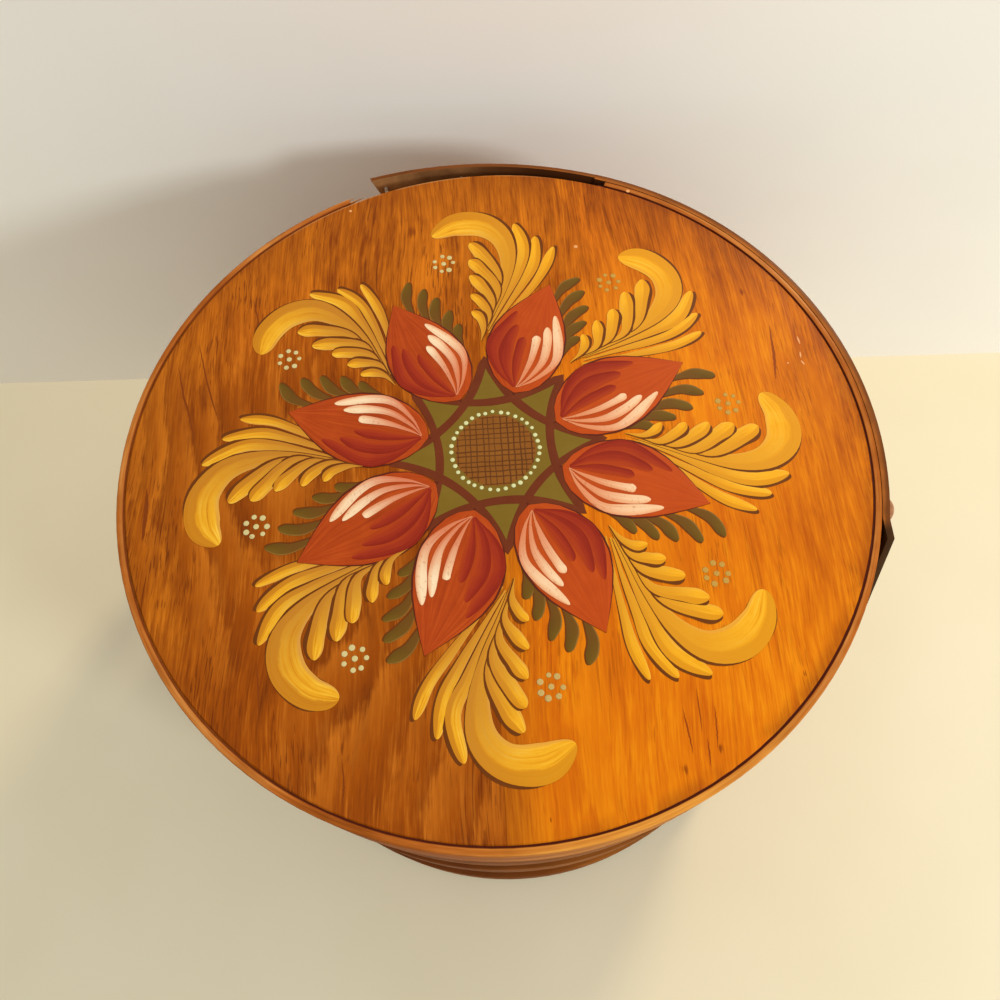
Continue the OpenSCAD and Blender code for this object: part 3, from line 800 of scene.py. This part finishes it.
def draw_star():
    """The green field, the seed disc with its hatching and pearls, and the star's bands."""
    angles = [360 * i / FIELD_SIDES + STAR_TURN for i in range(FIELD_SIDES)]
    field.disc([star_reach(angle) for angle in angles], 0.00003, FIELD_LEVEL)
    seed_disc.disc([SEED_R * (1 + jitter(0.02)) for _ in range(SEED_SIDES)], 0.00002, SEED_LEVEL)
    draw_hatching()
    for i in range(PEARLS):
        place = polar(0.119 + jitter(0.0018), 360 / PEARLS * i + jitter(1.0))
        pearls.dot(place, 0.00090 + jitter(0.00012), 0.00012, HATCH_LEVEL)
    pointed = np.clip(np.sin(np.linspace(0, math.pi, STAR_STEPS)) * 6, 0.05, 1)
    for k in range(ARMS):
        half = (0.00170 + jitter(0.00012)) * pointed
        bands.stroke(star_side(k), half, 0.00004, BAND_LEVEL + 0.00002 * (k % 2), 5)


# Petals. Rows give how far along a petal its half width has which share of the greatest.
PETAL_TURN, PETAL_BASE, PETAL_TIP, PETAL_WIDE = 26.5, 0.188, 0.588, 0.112
PETAL_ROWS = ((0, 0.02), (0.04, 0.36), (0.10, 0.60), (0.20, 0.83), (0.32, 0.97), (0.42, 1.0), (0.54, 0.95),
              (0.66, 0.80), (0.78, 0.56), (0.88, 0.32), (0.95, 0.14), (1.0, 0.01))
# How each petal departs from an even repeat: its turn, and its size
PETAL_HABITS = ((-1.6, 1.015), (-1.0, 0.99), (1.9, 0.98), (2.3, 1.025),
                (1.7, 1.04), (-2.3, 0.99), (-1.2, 0.975), (0.0, 0.975))
# Strokes on a petal: how far across it they swing, how far along it they end, and their half width
SHADE_STROKES = ((0.80, 0.70, 0.0235), (0.47, 0.60, 0.0205), (0.12, 0.50, 0.0150))
LIGHT_STROKES = ((-0.87, 0.72, 0.0140), (-0.56, 0.62, 0.0132), (-0.25, 0.52, 0.0116))
# Their fans: layer, height, strokes, places along, shares of the swing there, deviations, and tail and head
PETAL_FANS = ((shades, FILM, SHADE_STROKES, (0.05, 0.15, 0.28, 0.42), (0.15, 0.80, 1.0, 1.0, 0.90),
               (0.025, 0.1), (0.16, 0.62)),
              (lights, FILM * 2, LIGHT_STROKES, (0.045, 0.14, 0.30, 0.46), (0.10, 0.74, 1.02, 0.99, 0.84),
               (0.02, 0.08), (0.08, 0.82)))
LEAF_LENGTHS = (0.092, 0.106, 0.114, 0.118, 0.116)
LEAF_HALF, LEAF_FIRST, LEAF_STEP = 0.0152, 0.36, 0.125


class Petal:
    """The frame of one petal: how far along its axis, and across as a share of its half width."""

    def __init__(self, k):
        turn, size = PETAL_HABITS[k]
        self.turn = PETAL_TURN + ARM_TURN * k + turn + jitter(1.2)
        self.size = size + jitter(0.025)
        self.lean = 0.010 + jitter(0.004)

    def half(self, s):
        place, wide = zip(*PETAL_ROWS)
        return np.interp(s, place, wide) * PETAL_WIDE * self.size

    def at(self, s, v, out=0.0):
        s = np.asarray(s, float)
        r = PETAL_BASE + (PETAL_TIP - PETAL_BASE) * s * self.size
        side = np.asarray(v) * (self.half(s) + out) + self.lean * np.sin(s * math.pi)
        return LID_R * (np.multiply.outer(r, self.direction(0)) + np.multiply.outer(side, self.direction(90)))

    def direction(self, degrees):
        return heading(self.turn + degrees)

    def film(self, layer, grow, low, high, power):
        """A film of the petal's shape, which rises from its rim to a flat top."""
        s = np.clip(curve(np.array(PETAL_ROWS), np.linspace(0, 1, 50))[:, 0], 0, 1)
        across = np.sin(np.linspace(1, -1, 17) * math.pi / 2)
        grown = np.clip(s + (s - 0.45) * grow * 2.0, -0.02, 1.003)
        crown = np.clip(np.sin(s * math.pi), 0, 1) ** 0.3
        top = np.zeros((len(s), len(across), 3))
        uv = np.zeros((len(s), len(across), 2))
        for j, v in enumerate(across):
            top[:, j, :2] = self.at(grown, v * (1 + grow))
            top[:, j, 2] = TOP + low + (high - low) * (1 - abs(v) ** power) * crown
            uv[:, j, 0] = s
            uv[:, j, 1] = v * 0.8 + 2 * layer.count
        layer.sheet(top, uv)

    def draw_strokes(self, places):
        """Dark strokes on the petal's left half, and light ones on its right half."""
        level = PETAL_LEVEL + 0.00004
        for layer, height, strokes, along, swing, (loose, broader), shape in PETAL_FANS:
            for v, end, wide in strokes:
                s = [*along, end + jitter(loose)]
                half = comma(places, LID_R * wide * (1 + jitter(broader)), *shape)
                layer.stroke(curve(self.at(s, v * np.array(swing)), places), half, height, level)
                level += FILM * 1.5

    def draw_leaves(self, places):
        """Leaf strokes from the petal's right side, each over a dark liner."""
        level = STROKE_LEVEL
        for n, long in enumerate(LEAF_LENGTHS):
            start = LEAF_FIRST + LEAF_STEP * n + jitter(0.01)
            length = LID_R * long * (1 + jitter(0.06))
            root = self.at(np.array([start]), -1.0, -0.006)[0]
            bend = root + self.direction(-12 + jitter(3)) * length * 0.52
            tip = bend + self.direction(-38 + jitter(4)) * length * 0.52
            half = comma(places, LID_R * (LEAF_HALF + jitter(0.0010)), 0.42, 0.62)
            path = curve([root, bend, tip], places)
            shadows.stroke(path + self.direction(-110) * 0.0006, half, FILM, level)
            leaves.stroke(path, half, FILM * 2, level + FILM)
            level += FILM

    def draw(self):
        self.film(outlines, 0.048, *OUTLINE_LEVELS, 8)
        self.film(petals, 0.0, PETAL_RIM_LEVEL, PETAL_LEVEL + 0.00003, 6)
        self.draw_strokes(spread(26))
        self.draw_leaves(spread(26))


# Plumes. Their lines run through polar places from the plume's turn; a half width stands last.
PLUME_TURN = 1.5
SPINE = ((0.365, 2.0), (0.45, -2.8), (0.555, -6.0), (0.66, -6.6), (0.745, -4.6),
         (0.796, 0.0), (0.804, 5.6), (0.778, 11.2))
SPINE_HALF, SPINE_RISE = 0.0455, 5
CLOCKWISE = (((0.38, -2.0), (0.47, -9.8), (0.56, -14.6), (0.64, -17.0), (0.725, -17.4), 0.0150),
             ((0.39, -1.2), (0.49, -8.2), (0.58, -11.8), (0.66, -13.4), (0.757, -12.8), 0.0185),
             ((0.40, -0.8), (0.51, -6.6), (0.61, -9.6), (0.70, -10.6), (0.803, -7.4), 0.0205))
# Strokes on the other side, by the polar place of the head, the length and the half width
COUNTER = ((0.735, 2.6, 0.240, 0.0225), (0.670, 3.6, 0.210, 0.0208), (0.602, 4.0, 0.175, 0.0182),
           (0.536, 4.6, 0.140, 0.0158), (0.472, 5.4, 0.110, 0.0132))
# How each plume departs from an even repeat: its head's lean, and its size
PLUME_HABITS = ((-3.3, 0.98), (-0.7, 0.98), (-0.5, 1.0), (3.0, 0.955),
                (5.5, 1.0), (1.0, 1.0), (-2.8, 1.035), (-2.8, 1.0))
LEAN_START, LEAN_SPAN = 0.30, 0.47
# Liners are pushed aside, at an angle from the plume's turn and by lengths in metres
LINER_TURN = -65
CLOCKWISE_PUSH, SPINE_PUSH, COUNTER_PUSH = 0.0014, 0.0012, 0.0016
FLOWER_R, FLOWER_TURN, FLOWER_DOTS = 0.660, 10.0, 7
FLOWER_RING, FLOWER_MIDDLE, FLOWER_DOT, FLOWER_HEIGHT = 0.0043, 0.00118, 0.00112, 0.00005


class Plume:
    """The frame of one plume: its turn, the lean of its head and its scale."""

    def __init__(self, k):
        self.lean, size = PLUME_HABITS[k]
        self.turn = PLUME_TURN + ARM_TURN * k + jitter(1.2)
        self.scale = size + jitter(0.012)

    def line(self, rows, places):
        """A smooth line through polar places, which leans more the further out it comes."""
        points = []
        for r, a in rows:
            leaning = self.lean * (r - LEAN_START) / LEAN_SPAN
            points.append(polar(r * self.scale + jitter(0.003), self.turn + a + leaning + jitter(0.25)))
        return curve(points, places)

    def stroke(self, rows, places, half, push, level):
        """A yellow stroke over its dark liner, which shows along the clockwise side."""
        path = self.line(rows, places)
        shift = heading(self.turn + LINER_TURN) * push
        shadows.stroke(path + shift * (0.3 + 0.7 * places)[:, None], half, FILM, level)
        plumes.stroke(path, half, FILM * 2, level + FILM)

    def counter_rows(self, r, a, length):
        """Polar places of a stroke that leaves the spine and ends at a head."""
        tail = r - length
        far, turns = zip(*SPINE[:SPINE_RISE])
        spine = np.interp([tail, tail + length * 0.45], far, turns)
        return ((max(tail, 0.36), spine[0] + 0.6), (tail + length * 0.42, spine[1] + 1.8),
                (r - length * 0.22, a - 2.8), (r, a))

    def draw(self):
        level = STROKE_LEVEL
        places = spread(30)
        for *rows, wide in CLOCKWISE:
            half = comma(places, LID_R * wide * (1 + jitter(0.07)), 0.14, 0.82)
            self.stroke(rows, places, half, CLOCKWISE_PUSH, level)
            level += FILM * 2
        fine = spread(46)
        slim = np.sin(np.clip(fine / 0.7, 0, 1) * math.pi / 2) ** 0.8
        half = comma(fine, LID_R * SPINE_HALF * self.scale, 0.05, 0.80) * slim
        self.stroke(SPINE, fine, half, SPINE_PUSH, level)
        for r, a, length, wide in COUNTER:
            level += FILM * 2
            rows = self.counter_rows(r + jitter(0.008), a + jitter(0.5), length)
            half = comma(places, LID_R * wide * (1 + jitter(0.08)), 0.08, 0.74)
            self.stroke(rows, places, half, COUNTER_PUSH, level)

    def draw_flower(self):
        """A ring of dots about another one, beside the plume's head."""
        centre = polar(FLOWER_R + jitter(0.008), self.turn + FLOWER_TURN + self.lean + jitter(0.8))
        flowers.dot(centre, FLOWER_MIDDLE, FLOWER_HEIGHT, FIELD_LEVEL)
        for i in range(FLOWER_DOTS):
            a = 2 * math.pi * i / FLOWER_DOTS + jitter(0.12)
            place = centre + FLOWER_RING * np.array([math.cos(a), math.sin(a)])
            flowers.dot(place, FLOWER_DOT + jitter(0.0002), FLOWER_HEIGHT, FIELD_LEVEL)


draw_star()
for arm in range(ARMS):
    Petal(arm).draw()
for arm in range(ARMS):
    plume = Plume(arm)
    plume.draw()
    plume.draw_flower()

# Dark marks in the grain: half width, then places, in mm
GRAIN_MARKS = ((0.35, (-126, 61), (-120.3, 39.5), (-113.7, 19.6)),
               (0.40, (-133.9, 50.2), (-130.7, 36.6), (-126.2, 22.6), (-123.2, 9.8)),
               (0.85, (-140.8, -7.8), (-140, -18.9), (-140.1, -30.8)),
               (0.60, (121.3, 52.6), (120.4, 36.8), (118.8, 25.4)),
               (0.30, (60.5, -108), (61.3, -116), (61.9, -123.8)),
               (0.25, (71.8, -108), (71.3, -116), (70.7, -122.2)),
               (0.28, (67.6, -119), (67.5, -124), (67.3, -128.4)),
               (0.22, (66.4, -101), (66.3, -109), (66.1, -116.7)),
               (0.35, (125.6, 77), (127.4, 76.4), (129.3, 75.3)),
               (0.30, (-92, -82), (-90.5, -94), (-90, -104)),
               (0.30, (-104, 84), (-101, 72), (-100, 62)),
               (0.28, (-60, -118), (-59, -127), (-59.5, -134)))
MARK_STEPS = 24
marks = Layer("grain_marks", paint(
    "dark_grain", (112, 46, 0), (130, 58, 2), (148, 70, 6), right_tint=(148, 64, 0)))
for half_mm, *line_mm in GRAIN_MARKS:
    mark = curve(np.array(line_mm) / 1000, np.linspace(0, 1, MARK_STEPS))
    mark[:, 0] += [jitter(0.00012) for _ in mark]
    taper = np.sin(np.linspace(0.06, 3.08, MARK_STEPS)) ** 0.8
    marks.stroke(mark, half_mm / 1000 * taper, FILM, MARK_LEVEL, 3)

# Chips in the varnish: place and radius; scuffs: place, lean and length, in metres
CHIPS = ((0.0698, 0.1340, 0.0009), (-0.0612, 0.1322, 0.0007), (0.0422, 0.1026, 0.0009),
         (0.1255, 0.0330, 0.0004))
SCUFFS = ((0.1320, 0.0442, 0.12, 0.0040), (0.1317, 0.0368, -0.1, 0.0030), (0.1312, 0.0328, 0.5, 0.0022))
SCUFF_HALF, SCUFF_STEPS = 0.00035, 9
chips = Layer("varnish_chips", paint("paint_chip", (222, 146, 84), (232, 164, 104), (242, 186, 132)))
for chip_x, chip_y, chip_r in CHIPS:
    chips.dot((chip_x, chip_y), chip_r, 0.00003, CHIP_LEVEL, 9)
for scuff_x, scuff_y, slope, long in SCUFFS:
    scuff = [(scuff_x + slope * long * t, scuff_y + long * (0.5 - t)) for t in (0, 0.5, 1)]
    taper = np.sin(np.linspace(0.2, 2.9, SCUFF_STEPS))
    chips.stroke(curve(scuff, np.linspace(0, 1, SCUFF_STEPS)), SCUFF_HALF * taper, 0.00002, CHIP_LEVEL, 3)

# Old varnish in the seam: its width, as a share of the widest, at some turns; radii in metres
SEAM_TURNS = (110, 180, 225, 250, 285, 320, 345, 362, 400, 430)
SEAM_WIDTHS = (0.35, 0.30, 0.45, 0.65, 0.70, 0.80, 0.75, 0.40, 0.35, 0.60)
SEAM_FIRST, SEAM_LAST, SEAM_STEPS = BREAK_ANGLE + 1.5, 360 + 68, 300
SEAM_IN, SEAM_WIDEST, SEAM_OUT, SEAM_FOOT, SEAM_DEPTH = 0.15006, 0.00056, 0.15027, 0.15016, 0.0014
SEAM_CREST = 0.14924


def seam_bead(layer):
    """A three-sided bead along the joint between the boards and the band."""
    top = np.zeros((SEAM_STEPS + 1, 3, 3))
    uv = np.zeros((SEAM_STEPS + 1, 3, 2))
    for i in range(SEAM_STEPS + 1):
        turn = SEAM_FIRST + (SEAM_LAST - SEAM_FIRST) * i / SEAM_STEPS
        wide = min(max(np.interp(turn, SEAM_TURNS, SEAM_WIDTHS) + jitter(0.12), 0), 1)
        inner = SEAM_IN - SEAM_WIDEST * wide
        rise = SEAM_CREST - inner
        corners = ((inner, rise), (SEAM_OUT, rise - 0.00003), (SEAM_FOOT, -SEAM_DEPTH))
        top[i] = [rim_point(r, turn, TOP + z) for r, z in corners]
        uv[i] = [(i / 20, place) for place in (0.1, 0.5, 0.9)]
    layer.sheet(top, uv)


seam = Layer("seam_varnish", paint(
    "old_varnish", (132, 66, 16), (146, 76, 22), (160, 88, 32), right_tint=(78, 20, 0), front=True))
seam_bead(seam)

# Splinters of the broken band: radius, turn, length in degrees, half thickness and depth below the top
SPLINTERS = ((0.1509, 114.6, 3.4, 0.00035, 0.0009), (0.1518, 114.9, 2.6, 0.0005, 0.0022),
             (0.1524, 114.5, 1.6, 0.0003, 0.0007), (0.1513, 115.2, 2.9, 0.0006, 0.0060),
             (0.1520, 115.6, 2.2, 0.0005, 0.0120))
splinters = Layer("band_splinters", paint(
    "paint_torn_wood", (120, 70, 32), (176, 118, 64), (214, 162, 104)), "lid_band")
for out, turn, reach, thin, drop in SPLINTERS:
    root = rim_point(out, turn, TOP - drop)
    tip = rim_point(out + 0.0006, turn - reach, TOP - drop - 0.0006 + jitter(0.0006))
    splinters.splinter(root, tip, rim_point(thin, turn, 0), rim_point(0, turn, thin * 1.6))

for layer in (field, seed_disc, hatch, bands, pearls, outlines, petals, shades, lights, leaves, shadows,
              plumes, flowers, marks, chips, seam, splinters):
    layer.make()

# Stage: pale floor and wall, soft light, and the camera of the photo. Sizes and places are in metres.
FLOOR_HALF, WALL_HALF, WALL_HEIGHT = 4, 2, 1.2
WALL_Y, WALL_SKEW = 0.2014, -0.0365
WORLD_COLOUR, WORLD_STRENGTH = (1.0, 0.985, 0.96, 1), 0.63
# Focal length in pixels of a picture of this width, tilt and roll in degrees, place in radii of the lid
PICTURE, FOCAL, SENSOR = 1000, 870, 36
TILT, ROLL = 64.845, -3.528
AWAY, ASIDE, RAISED = 2.355, 0.0126, -0.1355


def plane(name, corners, material):
    """A flat piece of the stage."""
    mesh = bpy.data.meshes.new(name)
    mesh.from_pydata(corners, [], [(0, 1, 2, 3)])
    mesh.materials.append(material)
    made = bpy.data.objects.new(name, mesh)
    scene.collection.objects.link(made)
    return made


def plaster(name, low, high, one_sided=False):
    """Matt paint of two near colours, which may be clear from behind."""
    s = Shader(name, Roughness=0.75, Specular_IOR_Level=0.2)
    s.set("Base Color", s.ramp(s.patches((5, 5, 5)), (0.3, low), (0.7, high)))
    if one_sided:
        clear = s.node("ShaderNodeBsdfTransparent").outputs[0]
        behind = s.node("ShaderNodeNewGeometry").outputs["Backfacing"]
        both = s.node("ShaderNodeMixShader", {0: behind, 1: s.bsdf.outputs[0], 2: clear}).outputs[0]
        s.put(s.tree.nodes["Material Output"].inputs["Surface"], both)
    return s.material


def lamp(name, azimuth, elevation, distance, size, power, colour):
    """A round lamp that looks at the lid's centre."""
    data = bpy.data.lights.new(name, "AREA")
    data.shape = "DISK"
    data.size = size
    data.energy = power
    data.color = colour
    made = bpy.data.objects.new(name, data)
    a, e = math.radians(azimuth), math.radians(elevation)
    out = Vector((math.cos(a) * math.cos(e), math.sin(a) * math.cos(e), math.sin(e)))
    made.location = Vector((0, 0, TOP)) + out * distance
    made.rotation_euler = out.to_track_quat("Z", "Y").to_euler()
    scene.collection.objects.link(made)


def look():
    """The camera, which looks at the lid as the photo does."""
    view = bpy.data.cameras.new("camera")
    view.sensor_width = SENSOR
    view.lens = SENSOR * FOCAL / PICTURE
    view.clip_start = 0.01
    camera = bpy.data.objects.new("camera", view)
    tilt = Matrix.Rotation(math.radians(90 - TILT), 3, "X")
    turn = tilt @ Matrix.Rotation(math.radians(ROLL), 3, "Z")
    place = Vector((0, 0, TOP)) + LID_R * (turn @ Vector((ASIDE, RAISED, AWAY)))
    camera.matrix_world = Matrix.Translation(place) @ turn.to_4x4()
    scene.collection.objects.link(camera)
    scene.camera = camera


plane("floor", [(x * FLOOR_HALF, y * FLOOR_HALF, 0) for x, y in ((-1, -1), (1, -1), (1, 1), (-1, 1))],
      plaster("floor_paint", (232, 220, 186), (238, 227, 195)))
wall = plane("wall", [(x, WALL_Y + WALL_SKEW * x, z) for x, z in (
    (-WALL_HALF, 0), (WALL_HALF, 0), (WALL_HALF, WALL_HEIGHT), (-WALL_HALF, WALL_HEIGHT))],
    plaster("wall_paint", (244, 241, 232), (249, 246, 237), True))
wall.visible_shadow = False
wall.visible_diffuse = False
wall.visible_glossy = False
lamp("warm_lamp", 50, 36, 1.1, 0.22, 5.4, (1.0, 0.83, 0.58))
lamp("window", -40, 24, 1.5, 0.3, 11.0, (0.88, 0.95, 1.0))
world = bpy.data.worlds.new("studio")
world.use_nodes = True
world.node_tree.nodes["Background"].inputs["Color"].default_value = WORLD_COLOUR
world.node_tree.nodes["Background"].inputs["Strength"].default_value = WORLD_STRENGTH
scene.world = world
look()
scene.view_settings.view_transform = "Standard"
